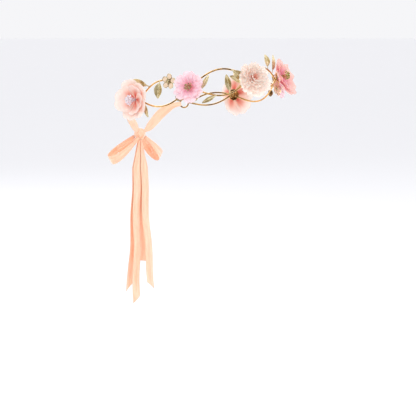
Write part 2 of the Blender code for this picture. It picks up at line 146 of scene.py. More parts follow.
class CrownSizes(bpy.types.PropertyGroup):
    """Fine sizes of the finished surfaces."""

    chiffon: length_setting("Chiffon thickness", "Thickness of one petal", 0.00022)
    satin: length_setting("Satin thickness", "Thickness of the ribbon", 0.00035)
    leaf: length_setting("Leaf thickness", "Thickness of the stamped leaves", 0.00050)
    vein: length_setting("Vein height", "Height of a leaf's midrib", 0.00042)
    ruffle: length_setting("Ruffle", "Swing of the petal edges", 0.0016)
    filament: length_setting("Filament", "Diameter of a stamen's stalk", 0.00036)
    stamen_bead: length_setting("Stamen bead", "Diameter of a stamen's bead", 0.0018)
    pleat: length_setting("Pleat", "Depth of the folds gathered at the knot", 0.00020)
    curl: length_setting("Curl", "Bow of the ribbon across its width", 0.00075)


class CrownColours(bpy.types.PropertyGroup):
    """Colours of the finished surfaces."""

    gold: colour_setting("Gold", "Polished gold of the wires", "d9b074")
    # Painted light: this dark colour stands for dark reflections in broad patches on the polished gold, and
    # for shade in its hollows.
    gold_painted_shade: colour_setting("Gold shade", "Painted dark reflections and shade on the gold", "7a4c22")
    leaf: colour_setting("Leaf gold", "Gold of the leaves", "fbeec2")
    # Painted shade: this olive colour darkens the blade between the raised veins, where the relief is low.
    leaf_painted_shade: colour_setting("Leaf shade", "Painted olive shade between the veins", "a08242")
    dark_gold: colour_setting("Dark gold", "Aged gold of the bead caps", "a08850")
    pearl: colour_setting("Pearl", "Lilac white of the pearl stamens", "f2ecf4")
    champagne: colour_setting("Champagne", "Gold of the side flowers' stamens", "ecdcae")
    lime_gold: colour_setting("Lime gold", "Greenish gold of the front flower's stamens", "dcd690")
    coral: colour_setting("Coral", "Coral stamens of the ruffled flower", "fab09a")
    enamel: colour_setting("Enamel", "Cream enamel of the small blossoms", "ecd2b4")
    satin: colour_setting("Satin", "Peach of the ribbon", "ffc2a0")
    # Painted highlight: the cream of the satin's painted sheen streaks.
    satin_painted_sheen: colour_setting("Satin painted sheen", "Cream of the painted sheen streaks", "ffdcc0")
    stage: colour_setting("Stage", "Pale floor", "fafafc")


# Geometry -----------------------------------------------------------------------------------

def unit(vectors):
    """Vectors divided by their own lengths."""
    return vectors / np.maximum(np.linalg.norm(vectors, axis=-1, keepdims=True), 1e-12)


def smooth(share):
    """3 s^2 - 2 s^3 of the share held between 0 and 1."""
    share = np.clip(share, 0.0, 1.0)
    return share * share * (3 - 2 * share)


def tilted(points):
    """Turn by the wear tilt about X: y to y cos t + z sin t, and z to z cos t - y sin t."""
    c, s = math.cos(WEAR_TILT), math.sin(WEAR_TILT)
    return points @ np.array(((1, 0, 0), (0, c, -s), (0, s, c)))


def ring_place(angle, outward=0.0, height=0.0):
    """Rows of a frame on the tilted ring: forward, up, the oval's outward normal, and the point."""
    turn = math.radians(angle)
    across, along = math.sin(turn), math.cos(turn)
    normal = unit(np.array((-across / HALF_BREADTH, -along / HALF_LENGTH, 0.0)))
    point = np.array((-HALF_BREADTH * across, -HALF_LENGTH * along, height)) + normal * outward
    return tilted(np.array((np.cross(UP, normal), UP, normal, point)))


def placed(points, place):
    """Point = x forward + y up + z outward + the place's own point."""
    return points @ place[:3] + place[3]


def turned(points, angle):
    """Turn about local Z by an angle in radians."""
    c, s = math.cos(angle), math.sin(angle)
    return points @ np.array(((c, s, 0), (-s, c, 0), (0, 0, 1)))


def wire_height(angles, side):
    """side * wave * sin(pi * share) along each stretch between two crossings of the wires."""
    stops = np.array((BAND_END_ANGLE, *(angle for _, _, angle in FLOWERS), -BAND_END_ANGLE))
    span = np.clip(np.searchsorted(-stops, -angles, side="right") - 1, 0, len(WAVE_HEIGHTS) - 1)
    share = (stops[span] - angles) / (stops[span] - stops[span + 1])
    return side * np.array(WAVE_HEIGHTS)[span] * np.sin(np.pi * share)


def wire_place(angle, side, drop=0.0):
    """A ring frame just clear of the front of one wire."""
    outward = side * WIRE_OFFSET + WIRE_DIAMETER / 2 + GAP
    return ring_place(angle, outward, float(wire_height(np.array(angle), side)) - drop)


def patch(grid, uv=None, relief=None):
    """A grid of points with UV and relief values; without them UV is the grid's shares, relief 0."""
    grid = np.asarray(grid, dtype=float)
    grid = grid.reshape(-1, *grid.shape[-3:])
    count, rows, cols = grid.shape[:3]
    if uv is None:
        down, over = np.meshgrid(np.linspace(0, 1, rows), np.linspace(0, 1, cols), indexing="ij")
        uv = np.stack((over, down), -1)
    uv = np.broadcast_to(uv, (count, rows, cols, 2))
    relief = np.broadcast_to(0.0 if relief is None else relief, (count, rows, cols))
    return grid, uv, relief


def make_piece(name, patches, look, nodes, body="crown", thickness=0.0):
    """One mesh of grids: corner (i, j) meets (i+1, j), (i+1, j+1), (i, j+1); doubles are merged."""
    quads, start = [], 0
    for grid, _, _ in patches:
        count, rows, cols = grid.shape[:3]
        index = start + np.arange(count * rows * cols).reshape(count, rows, cols)
        corners = (index[:, :-1, :-1], index[:, 1:, :-1], index[:, 1:, 1:], index[:, :-1, 1:])
        quads.append(np.stack(corners, -1).reshape(-1, 4))
        start += index.size
    quads = np.concatenate(quads)
    points = np.concatenate([grid.reshape(-1, 3) for grid, _, _ in patches])
    uvs = np.concatenate([uv.reshape(-1, 2) for _, uv, _ in patches])
    relief = np.concatenate([value.ravel() for _, _, value in patches])
    mesh = bpy.data.meshes.new(name)
    mesh.from_pydata(points, [], quads.tolist())
    mesh.uv_layers.new(name="UVMap").data.foreach_set("uv", uvs[quads.ravel()].ravel())
    mesh.attributes.new("relief", "FLOAT", "POINT").data.foreach_set("value", relief)
    body_mesh = bmesh.new()
    body_mesh.from_mesh(mesh)
    bmesh.ops.remove_doubles(body_mesh, verts=body_mesh.verts, dist=0.000002)
    bmesh.ops.recalc_face_normals(body_mesh, faces=body_mesh.faces)
    body_mesh.to_mesh(mesh)
    body_mesh.free()
    mesh.shade_smooth()
    mesh.materials.append(look)
    piece = bpy.data.objects.new(name, mesh)
    bpy.context.collection.objects.link(piece)
    if thickness:
        wall = piece.modifiers.new("thickness", "SOLIDIFY")
        wall.thickness = thickness
        wall.offset = 0.0
    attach(piece, body)
    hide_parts(nodes)
    return piece


def tube(path, guide, radius, sides):
    """Point = path + radius (cos a side + sin a lift); side is the guide made square to the path."""
    ahead = unit(np.gradient(path, axis=-2))
    side = unit(guide - ahead * (guide * ahead).sum(-1, keepdims=True))
    lift = np.cross(ahead, side)
    turn = np.linspace(0, 2 * np.pi, sides + 1)[:, None]
    ring = np.cos(turn) * side[..., None, :] + np.sin(turn) * lift[..., None, :]
    return path[..., None, :] + np.broadcast_to(radius, path.shape[:-1])[..., None, None] * ring


def rounded_ends(path, radius):
    """Rows beyond both ends: radius sin a further on, with the circle shrunk to radius cos a."""
    swing = np.radians((90.0, 67.0, 45.0, 22.0))
    ahead, behind = unit(path[0] - path[1]), unit(path[-1] - path[-2])
    head = path[0] + ahead * (radius * np.sin(swing))[:, None]
    foot = path[-1] + behind * (radius * np.sin(swing[::-1]))[:, None]
    sizes = (radius * np.cos(swing), np.full(len(path), radius), radius * np.cos(swing[::-1]))
    return np.concatenate((head, path, foot)), np.concatenate(sizes)


def beads(centres, radius, rows, cols, stretch=1.0):
    """Ellipsoids: centre + radius (sin a cos b, sin a sin b, stretch cos a)."""
    a = np.linspace(0, np.pi, rows)[:, None]
    b = np.linspace(0, 2 * np.pi, cols + 1)[None, :]
    ball = np.stack((np.sin(a) * np.cos(b), np.sin(a) * np.sin(b), stretch * np.cos(a) + 0 * b), -1)
    return np.asarray(centres)[:, None, None, :] + radius * ball


def lathe(profile, segments, lobes=None):
    """Turn a profile of (radius, height) about Z; lobes(b) scales the radius with the angle b."""
    profile = np.asarray(profile)
    b = np.linspace(0, 2 * np.pi, segments + 1)
    scale = np.ones_like(b) if lobes is None else lobes(b)
    radius = profile[:, :1] * scale
    return np.stack((radius * np.cos(b), radius * np.sin(b), profile[:, 1:] + 0 * b), -1)


def ribbon(path, across, width, curl, pleat, waves, cols):
    """Point = path + across u w/2 + face (curl (u^2 - 1/3) + pleat cos(waves pi u)), u from -1 to 1.

    UV runs across the ribbon from 0 to 1 and along it in ribbon widths.
    """
    ahead = unit(np.gradient(path, axis=0))
    side = unit(across - ahead * (across * ahead).sum(-1, keepdims=True))
    face = np.cross(ahead, side)
    u = np.linspace(-1, 1, cols)[None, :]
    rows = np.ones((len(path), 1))
    width, curl, pleat = (np.reshape(x, (-1, 1)) * rows for x in (width, curl, pleat))
    bow = curl * (u * u - 1 / 3) + pleat * np.cos(waves * np.pi * u)
    grid = path[:, None] + side[:, None] * (u * width / 2)[..., None] + face[:, None] * bow[..., None]
    run = np.concatenate(([0], np.cumsum(np.linalg.norm(np.diff(path, axis=0), axis=1))))
    uv = np.stack((u * 0.5 + 0.5 + 0 * rows, run[:, None] / RIBBON_WIDTH + 0 * u), -1)
    relief = np.cos(waves * np.pi * u) * pleat / (np.abs(pleat).max() + 1e-9)
    return patch(grid, uv, relief), float(run[-1])


# Materials ----------------------------------------------------------------------------------

def put(tree, kind, inputs=(), **settings):
    """Add a node; inputs are (socket, value or link) pairs."""
    node = tree.nodes.new(kind)
    for key, value in settings.items():
        setattr(node, key, value)
    for key, value in inputs:
        if isinstance(value, bpy.types.NodeSocket):
            tree.links.new(value, node.inputs[key])
        else:
            node.inputs[key].default_value = value
    return node


def sum_of(tree, operation, first, second=0.0, third=0.0, clamp=False):
    """One Math node's output."""
    pairs = ((0, first), (1, second), (2, third))
    return put(tree, "ShaderNodeMath", pairs, operation=operation, use_clamp=clamp).outputs[0]


def between(tree, value, low, high, to_low=0.0, to_high=1.0):
    """Smoothly map a value from low..high to two other values."""
    pairs = (("Value", value), ("From Min", low), ("From Max", high), ("To Min", to_low),
             ("To Max", to_high))
    return put(tree, "ShaderNodeMapRange", pairs, interpolation_type="SMOOTHSTEP").outputs["Result"]


def blend_colour(tree, factor, first, second):
    """Mix two colours by a factor."""
    node = put(tree, "ShaderNodeMix", (), data_type="RGBA", clamp_factor=True)
    for key, value in ((0, factor), (6, first), (7, second)):
        if isinstance(value, bpy.types.NodeSocket):
            tree.links.new(value, node.inputs[key])
        else:
            node.inputs[key].default_value = value if key == 0 else (*value, 1.0)
    return node.outputs[2]


def noise(tree, scale, detail=3.0, vector=None, roughness=0.5):
    """A Noise texture's value on object coordinates, or on the vector given."""
    if vector is None:
        vector = put(tree, "ShaderNodeTexCoord").outputs["Object"]
    pairs = (("Vector", vector), ("Scale", scale), ("Detail", detail), ("Roughness", roughness))
    return put(tree, "ShaderNodeTexNoise", pairs).outputs[0]


def stretched_uv(tree, across, along):
    """The UV map scaled by two numbers."""
    uv = put(tree, "ShaderNodeUVMap", (), uv_map="UVMap").outputs[0]
    return put(tree, "ShaderNodeMapping", (("Vector", uv), ("Scale", (across, along, 1.0)))).outputs[0]


def uv_axes(tree):
    """The UV map's two numbers."""
    uv = put(tree, "ShaderNodeUVMap", (), uv_map="UVMap").outputs[0]
    return put(tree, "ShaderNodeSeparateXYZ", ((0, uv),)).outputs


def new_group(name, inputs, outputs):
    """A node group with named float or colour inputs and outputs, and its input and output nodes."""
    tree = bpy.data.node_groups.new(name, "ShaderNodeTree")
    for label, default in inputs:
        kind = "NodeSocketColor" if isinstance(default, tuple) else "NodeSocketFloat"
        socket = tree.interface.new_socket(label, in_out="INPUT", socket_type=kind)
        socket.default_value = (*default, 1.0) if isinstance(default, tuple) else default
    for label, kind in outputs:
        tree.interface.new_socket(label, in_out="OUTPUT", socket_type="NodeSocket" + kind)
    return tree, tree.nodes.new("NodeGroupInput").outputs, tree.nodes.new("NodeGroupOutput").inputs


def thread_group():
    """Woven threads: |sin| ridges across and along the UV map, with slubs from stretched noise."""
    tree, given, out = new_group(
        "Woven threads", (("Across", 60.0), ("Along", 60.0)), (("Height", "Float"), ("Slub", "Float")))
    uv = uv_axes(tree)
    ridges = []
    for axis, key in ((0, "Across"), (1, "Along")):
        turn = sum_of(tree, "MULTIPLY", uv[axis], sum_of(tree, "MULTIPLY", given[key], math.pi))
        ridges.append(sum_of(tree, "ABSOLUTE", sum_of(tree, "SINE", turn)))
    tree.links.new(sum_of(tree, "MAXIMUM", *ridges), out["Height"])
    slub = noise(tree, 1.0, 4.0, stretched_uv(tree, 38.0, 3.0))
    tree.links.new(slub, out["Slub"])
    return tree


def metal_group():
    """Mottle and painted shade: broad and fine noise, darker where the relief is low (painted shade in
    hollows) and in broad patches (painted dark reflections on polished gold, a random mottle on glazes).
    """
    tree, given, out = new_group(
        "Mottle and painted shade", (("Broad", 120.0), ("Fine", 900.0), ("Hollow", 0.5)),
        (("Shade", "Float"), ("Gloss", "Float"), ("Height", "Float")))
    broad, fine = noise(tree, given["Broad"], 2.0), noise(tree, given["Fine"], 5.0, None, 0.62)
    relief = put(tree, "ShaderNodeAttribute", (), attribute_name="relief").outputs["Fac"]
    # Painted shade where the relief is low; the broad patches are painted dark reflections on polished gold
    # and a random mottle on glazes.
    low = sum_of(tree, "MULTIPLY", sum_of(tree, "SUBTRACT", 1.0, relief, clamp=True), given["Hollow"])
    patchy = between(tree, broad, 0.42, 0.72, 0.0, 0.55)
    tree.links.new(sum_of(tree, "MULTIPLY_ADD", low, 0.8, patchy, clamp=True), out["Shade"])
    tree.links.new(between(tree, fine, 0.35, 0.7), out["Gloss"])
    height = sum_of(tree, "MULTIPLY_ADD", broad, 0.6, sum_of(tree, "MULTIPLY", fine, 0.4))
    tree.links.new(height, out["Height"])
    return tree


def petal_group():
    """Petal dye: a throat streak that fades along v and from the midline, and a pale edge."""
    tree, given, out = new_group(
        "Petal dye",
        (("Throat", (1.0, 0.2, 0.2)), ("Body", (1.0, 0.8, 0.7)), ("Edge", (1.0, 0.9, 0.9)),
         ("Reach", 0.6), ("Spread", 0.5), ("Flecks", 0.3)),
        (("Colour", "Color"), ("Sheerness", "Float"), ("Fold", "Float")))
    u, v = uv_axes(tree)[:2]
    drift = noise(tree, 1.0, 3.0, stretched_uv(tree, 14.0, 2.2))
    wander = sum_of(tree, "MULTIPLY_ADD", sum_of(tree, "SUBTRACT", drift, 0.5), 0.5, v)
    fade = between(tree, wander, 0.05, given["Reach"], 1.0, 0.0)
    off_middle = sum_of(tree, "ABSOLUTE", sum_of(tree, "SUBTRACT", u, 0.5))
    width = sum_of(tree, "MULTIPLY", given["Spread"], sum_of(tree, "SUBTRACT", 1.15, v, clamp=True))
    streak = between(tree, sum_of(tree, "DIVIDE", off_middle, width), 0.1, 1.0, 1.0, 0.0)
    throat = sum_of(tree, "MULTIPLY", fade, streak, clamp=True)
    fleck = between(tree, noise(tree, 420.0, 2.0), 0.60, 0.70)
    specks = sum_of(tree, "MULTIPLY", sum_of(tree, "MULTIPLY", fleck, given["Flecks"]),
                    between(tree, v, 0.35, 0.95, 1.0, 0.25))
    mask = sum_of(tree, "MAXIMUM", throat, specks, clamp=True)
    rim = between(tree, sum_of(tree, "MULTIPLY_ADD", drift, 0.25, v), 0.55, 1.1)
    mellow = put(tree, "ShaderNodeMix", ((0, rim), (6, given["Body"]), (7, given["Edge"])), data_type="RGBA")
    dyed = put(tree, "ShaderNodeMix", ((0, mask), (6, mellow.outputs[2]), (7, given["Throat"])),
               data_type="RGBA")
    tree.links.new(dyed.outputs[2], out["Colour"])
    tree.links.new(between(tree, sum_of(tree, "ADD", v, drift), 0.6, 1.5), out["Sheerness"])
    tree.links.new(noise(tree, 1.0, 3.0, stretched_uv(tree, 26.0, 3.0), 0.6), out["Fold"])
    return tree


GROUPS = {}


def group(tree, name, inputs=()):
    """Place a shared node group, built the first time it is asked for."""
    makers = {"Woven threads": thread_group, "Mottle and painted shade": metal_group, "Petal dye": petal_group}
    if name not in GROUPS:
        GROUPS[name] = makers[name]()
    node = tree.nodes.new("ShaderNodeGroup")
    node.node_tree = GROUPS[name]
    for key, value in inputs:
        node.inputs[key].default_value = (*value, 1.0) if hasattr(value, "__len__") else value
    return node.outputs


def principled(name, constants):
    """A material with its Principled shader; constants go straight on the shader's sockets."""
    made = bpy.data.materials.new(name)
    made.use_nodes = True
    tree = made.node_tree
    shader = tree.nodes["Principled BSDF"]
    for key, value in constants:
        shader.inputs[key].default_value = value
    return made, tree, shader


def bump(tree, shader, height, distance, strength=1.0):
    """Feed a height to the shader's normal."""
    node = put(tree, "ShaderNodeBump", (("Height", height), ("Distance", distance), ("Strength", strength)))
    tree.links.new(node.outputs[0], shader.inputs["Normal"])


def metal_look(name, light, shade, rough, hollow, broad=120.0, metallic=1.0):
    """Gold with painted shade in its hollows and painted dark reflections in broad patches, with soft
    hammering and fine scratches.
    """
    made, tree, shader = principled(name, (("Metallic", metallic), ("Specular IOR Level", 0.5)))
    mottle_and_shade = group(tree, "Mottle and painted shade", (("Hollow", hollow), ("Broad", broad)))
    gold = blend_colour(tree, mottle_and_shade["Shade"], tuple(light), tuple(shade))
    tree.links.new(gold, shader.inputs["Base Color"])
    tree.links.new(between(tree, mottle_and_shade["Gloss"], 0.0, 1.0, rough, rough + 0.14), shader.inputs["Roughness"])
    bump(tree, shader, mottle_and_shade["Height"], 0.00012, 0.5)
    return made


def chiffon_look(name, throat, body, edge, reach, spread, flecks):
    """Sheer dyed cloth: woven threads, soft crimps, a paler, thinner edge and a faint painted glow in the
    dye's colour.
    """
    # Painted light: the emission makes the chiffon glow faintly in its own colour, lifting its shade.
    constants = (("Subsurface Weight", 0.6), ("Subsurface Scale", 0.003), ("Sheen Weight", 0.25),
                 ("Sheen Roughness", 0.4), ("Specular IOR Level", 0.25), ("Emission Strength", 0.10),
                 ("Subsurface Radius", (1.0, 0.6, 0.5)))
    made, tree, shader = principled(name, constants)
    dye = group(tree, "Petal dye", (
        ("Throat", linear(throat)), ("Body", linear(body)), ("Edge", linear(edge)),
        ("Reach", reach), ("Spread", spread), ("Flecks", flecks)))
    threads = group(tree, "Woven threads", (("Across", 90.0), ("Along", 90.0)))
    for key in ("Base Color", "Emission Color"):
        tree.links.new(dye["Colour"], shader.inputs[key])
    tree.links.new(between(tree, threads["Slub"], 0.3, 0.7, 0.55, 0.8), shader.inputs["Roughness"])
    tree.links.new(between(tree, dye["Sheerness"], 0.0, 1.0, 1.0, 0.80), shader.inputs["Alpha"])
    bump(tree, shader, sum_of(tree, "MULTIPLY_ADD", dye["Fold"], 4.0, threads["Height"]), 0.00010, 0.6)
    return made


def satin_look(colours):
    """Peach satin: painted cream sheen streaks over peach, long slubs, a fine weave and a faint painted glow.
    """
    # Painted light: the emission makes the satin glow faintly in its own colours.
    constants = (("Sheen Weight", 0.3), ("Sheen Roughness", 0.35), ("Specular IOR Level", 0.55),
                 ("Anisotropic", 0.5), ("Subsurface Weight", 0.15), ("Subsurface Scale", 0.001),
                 ("Emission Strength", 0.04), ("Subsurface Radius", (1.0, 0.5, 0.3)))
    made, tree, shader = principled("Peach satin", constants)
    threads = group(tree, "Woven threads", (("Across", 110.0), ("Along", 110.0)))
    broad = noise(tree, 1.0, 2.0, stretched_uv(tree, 3.2, 0.55))
    # Painted sheen: long noise streaks along the ribbon blend the peach toward cream, as a lit satin sheen.
    painted_sheen = sum_of(tree, "MULTIPLY_ADD", threads["Slub"], 0.22, sum_of(tree, "MULTIPLY", broad, 0.95))
    colour = blend_colour(tree, between(tree, painted_sheen, 0.30, 0.95), tuple(colours.satin),
                          tuple(colours.satin_painted_sheen))
    for key in ("Base Color", "Emission Color"):
        tree.links.new(colour, shader.inputs[key])
    tree.links.new(between(tree, threads["Slub"], 0.25, 0.75, 0.24, 0.42), shader.inputs["Roughness"])
    bump(tree, shader, sum_of(tree, "MULTIPLY_ADD", threads["Slub"], 3.0, threads["Height"]), 0.00006, 0.5)
    return made


def gloss_look(name, colour, rough, shade=0.75):
    """Glazed beads and enamel: mottled colour under a clear coat."""
    made, tree, shader = principled(name, (("Coat Weight", 0.8), ("Coat Roughness", 0.06)))
    mottle_and_shade = group(tree, "Mottle and painted shade", (("Hollow", 0.6), ("Broad", 300.0)))
    dim = tuple(c * shade for c in colour)
    tree.links.new(blend_colour(tree, mottle_and_shade["Shade"], tuple(colour), dim), shader.inputs["Base Color"])
    tree.links.new(between(tree, mottle_and_shade["Gloss"], 0.0, 1.0, rough, rough + 0.1), shader.inputs["Roughness"])
    bump(tree, shader, mottle_and_shade["Height"], 0.00005, 0.3)
    return made


CHIFFONS = {
    # name, colours of the throat, the body and the edge, reach and spread of the throat, flecks
    "peach_chiffon": ("Peach chiffon", "dc2418", "fbbfaa", "fee0d4", 0.95, 0.50, 0.0),
    "pink_chiffon": ("Pink chiffon", "f05a78", "fbb4c2", "fdd4dd", 0.46, 1.4, 0.0),
    "cream_chiffon": ("Cream pink chiffon", "f59c84", "fbcfbf", "feecdf", 0.36, 0.9, 0.55),
    "rose_chiffon": ("Rose chiffon", "e8305c", "fba6b4", "fcc2b8", 0.70, 0.7, 0.35),
}
LOOKS = {}


def look(name):
    """A finish by name, made the first time it is asked for."""
    colours = bpy.context.scene.crown_colours
    makers = {
        "gold": lambda: metal_look("Polished gold", colours.gold, colours.gold_painted_shade, 0.08, 0.0),
        "leaf": lambda: metal_look("Leaf gold", colours.leaf, colours.leaf_painted_shade, 0.26, 0.9, 160.0, 0.55),
        "dark": lambda: metal_look("Dark gold", colours.dark_gold, colours.gold_painted_shade, 0.22, 0.9),
        "satin": lambda: satin_look(colours),
        "enamel": lambda: gloss_look("Cream enamel", colours.enamel, 0.18),
        "pearl": lambda: gloss_look("Pearl", colours.pearl, 0.12, 0.62),
        "champagne": lambda: metal_look("Champagne beads", colours.champagne, colours.gold_painted_shade, 0.22, 0.3),
        "lime": lambda: metal_look("Lime gold beads", colours.lime_gold, colours.gold_painted_shade, 0.25, 0.3),
        "coral": lambda: gloss_look("Coral beads", colours.coral, 0.25),
    }
    makers.update({key: lambda dye=dye: chiffon_look(*dye) for key, dye in CHIFFONS.items()})
    if name not in LOOKS:
        LOOKS[name] = makers[name]()
    return LOOKS[name]


def sizes():
    """The fine sizes set on the scene."""
    return bpy.context.scene.crown_sizes


# Metal --------------------------------------------------------------------------------------

class CROWN_OT_wires(bpy.types.Operator):
    """Two wavy vine wires and the closed rings at their ends"""

    bl_idname = "crown.wires"
    bl_label = "Vine wires"

    def execute(self, context):
        angles = np.linspace(BAND_END_ANGLE, -BAND_END_ANGLE, 420)
        turn = np.radians(angles)
        normal = unit(np.stack((-np.sin(turn) / HALF_BREADTH, -np.cos(turn) / HALF_LENGTH, 0 * turn), -1))
        for name, side in (("outer_vine_wire", 1), ("inner_vine_wire", -1)):
            rise = wire_height(angles, side)
            path = np.stack((-HALF_BREADTH * np.sin(turn), -HALF_LENGTH * np.cos(turn), rise), -1)
            path = path + normal * side * WIRE_OFFSET
            swell = 1 + 0.035 * np.sin(turn * 61) * np.sin(turn * 23 + side)
            path, radius = rounded_ends(path, WIRE_DIAMETER / 2)
            guide = np.concatenate((normal[:1].repeat(4, 0), normal, normal[-1:].repeat(4, 0)))
            radius[4:-4] *= swell
            grid = tube(path, guide, radius, 18)
            make_piece(name + "_polished", [patch(tilted(grid))], look("gold"), name)
        for name, side in (("right_end_ring", 1), ("left_end_ring", -1)):
            place = ring_place(side * BAND_END_ANGLE)
            middle = np.array((-side * (END_RING_RADIUS + END_RING_WIRE / 2 + GAP), 0.0, 0.0))
            loop = np.linspace(0, 2 * np.pi, 65)[:, None]
            roll = np.linspace(0, 2 * np.pi, 17)[None, :]
            radius = END_RING_RADIUS + END_RING_WIRE / 2 * np.cos(roll)
            rise = END_RING_WIRE / 2 * np.sin(roll) + 0 * loop
            grid = np.stack((radius * np.cos(loop), radius * np.sin(loop), rise), -1) + middle
            make_piece(name + "_polished", [patch(placed(grid, place))], look("gold"), name)
        return {"FINISHED"}


def rounded_square():
    """Unit superellipse |y|^6 + |z|^6 = 1, as its y and z."""
    turn = np.linspace(0, 2 * np.pi, 65)
    reach = (np.abs(np.cos(turn)) ** 6 + np.abs(np.sin(turn)) ** 6) ** (-1 / 6)
    return reach * np.cos(turn), reach * np.sin(turn)


class CROWN_OT_holders(bpy.types.Operator):
    """A lobed disc on a rounded bail round both wires, behind each flower"""

    bl_idname = "crown.holders"
    bl_label = "Flower holders"

    def execute(self, context):
        back, face, soft, reach = BAIL_REACH + BAIL_WALL / 2, BASE_FACE, 0.0003, BASE_RADIUS
        profile = ((0, back), (reach * 0.5, back), (reach * 0.52, back - 0.0002), (reach - 0.0012, back),
                   (reach - soft, back), (reach, back + soft), (reach, face - soft), (reach - soft, face),
                   (reach - 0.0012, face), (reach - 0.0016, face - 0.0002), (0, face - 0.0002))
        disc = lathe(profile, 120, lambda b: 1 - 0.07 * (1 - np.abs(np.cos(5 * b)) ** 0.7))
        y, z = rounded_square()
        roll = np.linspace(0, 2 * np.pi, 13)[:, None]
        middle = BAIL_REACH + BAIL_WALL / 2 + BAIL_WALL / 2 * np.cos(roll)
        bail = np.stack((BAIL_WIDTH / 2 * np.sin(roll) + 0 * y, middle * y, middle * z), -1)
        for name, _, angle in FLOWERS:
            place = ring_place(angle)
            node = name + "_base"
            parts = [patch(placed(disc, place), relief=1.0), patch(placed(bail, place), relief=1.0)]
            make_piece(node + "_holder", parts, look("gold"), node)
        return {"FINISHED"}


LEAVES = (
    # name, ring angle, wire side, heading on the ring's face, length, width, lean away from the ring
    ("right_end_leaf", 130.0, 1, 188.0, 0.0140, 0.0055, 25.0),
    ("right_rear_upper_leaf", 92.0, -1, 152.0, 0.0260, 0.0075, 6.0),
    ("right_rear_lower_leaf", 97.0, 1, 279.0, 0.0165, 0.0060, 6.0),
    ("right_hanging_leaf", 82.0, -1, 252.0, 0.0205, 0.0105, 4.0),
    ("right_side_upper_leaf", 54.0, -1, 52.0, 0.0200, 0.0052, 2.0),
    ("right_side_lower_leaf", 43.0, -1, 199.0, 0.0185, 0.0050, 3.0),
    ("right_upright_leaf", 33.5, -1, 92.0, 0.0215, 0.0070, 3.0),
    ("right_front_inner_leaf", 30.0, 1, 313.0, 0.0200, 0.0095, 2.0),
    ("front_broad_leaf", -5.0, -1, 96.0, 0.0160, 0.0098, 3.0),
    ("front_narrow_leaf", -11.0, -1, 70.0, 0.0220, 0.0070, 3.0),
    ("left_upright_leaf", -33.5, -1, 88.0, 0.0215, 0.0070, 3.0),
    ("left_hanging_leaf", -82.0, -1, 288.0, 0.0205, 0.0105, 4.0),
    ("left_rear_upper_leaf", -92.0, -1, 28.0, 0.0260, 0.0075, 6.0),
    ("left_end_leaf", -130.0, 1, 352.0, 0.0140, 0.0055, 25.0),
)


def leaf_patch(length, width, vein):
    """A folded blade: half width W sin(pi b^0.85)^0.9 after the stalk, saw edge, raised veins.

    The midrib is a bell across the leaf; side veins are narrow ridges that slant forward to the edge.
    """
    s = np.linspace(0, 1, 72)[:, None]
    u = np.linspace(-1, 1, 33)[None, :]
    b = np.clip((s - STALK_SHARE) / (1 - STALK_SHARE), 0, 1)
    swell = np.sin(np.pi * b ** 0.85) ** 0.9
    saw = 1 + 0.05 * (b * LEAF_TEETH % 1.0) * smooth(b * 6) * smooth((1 - b) * 5)
    half = LEAF_STALK / 2 + (width / 2 - LEAF_STALK / 2) * swell * saw
    half = half * np.clip((1 - s) / 0.02, 0.02, 1)
    y = half * np.sign(u) * np.abs(u) ** 0.85
    x = length * s + 0 * u
    blade = smooth(b * 8) * smooth((1 - b) * 7)
    midrib = np.exp(-(y / 0.00042) ** 2) * smooth((1 - s) * 6)
    slant = (x - np.abs(y) * 1.15) / (length * 0.095)
    side = np.maximum(np.cos(2 * np.pi * slant), 0) ** 5 * smooth((1 - np.abs(u)) * 5) * blade
    rim = smooth((np.abs(u) - 0.86) / 0.12) * blade
    cup = 0.22 * np.abs(y) + 0.05 * length * np.sin(np.pi * s) * (1 - 0.5 * u * u) - 0.0006 * s ** 3
    height = cup + vein * midrib + 0.42 * vein * side + 0.3 * vein * rim
    relief = np.maximum.reduce((midrib, 0.9 * side, 0.8 * rim + 0 * x)) + 0.15
    return np.stack((x, y, height + 0.0003), -1), relief


class CROWN_OT_leaves(bpy.types.Operator):
    """Fourteen stamped leaves with midribs, side veins and a fine saw edge"""

    bl_idname = "crown.leaves"
    bl_label = "Leaves"

    def execute(self, context):
        for name, angle, side, heading, length, width, lean in LEAVES:
            grid, relief = leaf_patch(length, width, sizes().vein)
            c, s = math.cos(math.radians(lean)), math.sin(math.radians(lean))
            grid = turned(grid @ np.array(((c, 0, s), (0, 1, 0), (-s, 0, c))), math.radians(heading))
            grid = placed(grid, wire_place(angle, side))
            make_piece(name + "_veined", [patch(grid, relief=relief)], look("leaf"), name,
                       thickness=sizes().leaf)
        return {"FINISHED"}


def blossom_petal(turn, share):
    """x = reach + 1.28 lobe cos, y = 1.26 lobe sin, rise = level + 0.6 mm ((x - 4 mm) / 4 mm)^2."""
    lobe = BLOSSOM_LOBE * (1 + 0.10 * np.cos(turn) - 0.05 * np.cos(5 * turn)) * share
    x = BLOSSOM_REACH + 1.28 * lobe * np.cos(turn)
    return x, 1.26 * lobe * np.sin(turn), BLOSSOM_LEVEL + 0.0006 * ((x - 0.004) / 0.004) ** 2


